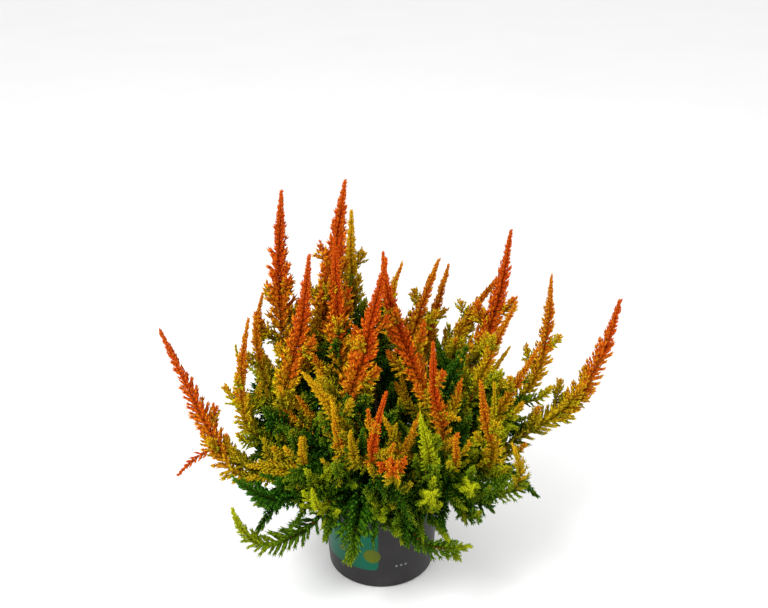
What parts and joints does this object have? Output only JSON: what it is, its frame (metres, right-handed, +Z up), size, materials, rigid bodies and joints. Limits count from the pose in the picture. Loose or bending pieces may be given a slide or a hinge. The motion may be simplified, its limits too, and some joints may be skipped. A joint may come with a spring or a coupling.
{
  "type": "potted heather",
  "caption": "Young heather in a round tapered plastic pot: upright and hanging leafy shoots on woody stems, green low down and turning gold, orange and red towards their tips.",
  "frame": {"origin": "centre of the pot's base, on the surface that it stands on", "axes": "+Z up along the pot's axis, -Y towards the viewer of the picture, +X to the viewer's right"},
  "size_m": [0.3753, 0.2652, 0.3532],
  "materials": {
    "pot_plastic": "satin",
    "peat": "matte",
    "bark": "matte",
    "foliage_green": "matte",
    "foliage_lime": "matte",
    "foliage_gold": "matte",
    "foliage_orange": "matte",
    "foliage_red": "matte"
  },
  "bodies": {
    "root": {"pot": "pot_plastic", "root_ball": "peat", "woody_stem_middle": "bark", "woody_stem_left": "bark", "woody_stem_right": "bark", "woody_stem_front": "bark", "woody_stem_front_left": "bark", "woody_stem_front_right": "bark", "woody_stem_back": "bark", "woody_stem_back_left": "bark", "woody_stem_back_right": "bark", "shoot_left_1": "foliage_red", "shoot_left_2": "foliage_red", "shoot_left_3": "foliage_orange", "shoot_left_4": "foliage_orange", "shoot_left_5": "foliage_red", "shoot_middle_1": "foliage_gold", "shoot_middle_2": "foliage_orange", "shoot_middle_3": "foliage_gold", "shoot_middle_4": "foliage_red", "shoot_middle_5": "foliage_orange", "shoot_front_1": "foliage_red", "shoot_front_2": "foliage_red", "shoot_front_3": "foliage_red", "shoot_front_4": "foliage_gold", "shoot_front_5": "foliage_lime", "shoot_front_6": "foliage_gold", "shoot_front_left_1": "foliage_gold", "shoot_front_left_2": "foliage_red", "shoot_front_left_3": "foliage_green", "shoot_front_left_4": "foliage_lime", "shoot_front_left_5": "foliage_lime", "shoot_front_left_6": "foliage_gold", "shoot_front_right_1": "foliage_red", "shoot_front_right_2": "foliage_red", "shoot_front_right_3": "foliage_lime", "shoot_front_right_4": "foliage_lime", "shoot_front_right_5": "foliage_lime", "shoot_front_right_6": "foliage_lime", "shoot_front_right_7": "foliage_orange", "shoot_front_right_8": "foliage_gold", "shoot_right_1": "foliage_red", "shoot_right_2": "foliage_orange", "shoot_right_3": "foliage_red", "shoot_right_4": "foliage_orange", "shoot_right_5": "foliage_orange", "shoot_right_6": "foliage_orange", "shoot_right_7": "foliage_orange", "shoot_back_1": "foliage_orange", "shoot_back_2": "foliage_lime", "shoot_back_3": "foliage_gold", "shoot_back_4": "foliage_green", "shoot_back_left_1": "foliage_orange", "shoot_back_left_2": "foliage_gold", "shoot_back_left_3": "foliage_lime", "shoot_back_left_4": "foliage_green", "shoot_back_right_1": "foliage_orange", "shoot_back_right_2": "foliage_gold", "shoot_back_right_3": "foliage_lime"}
  },
  "joints": []
}
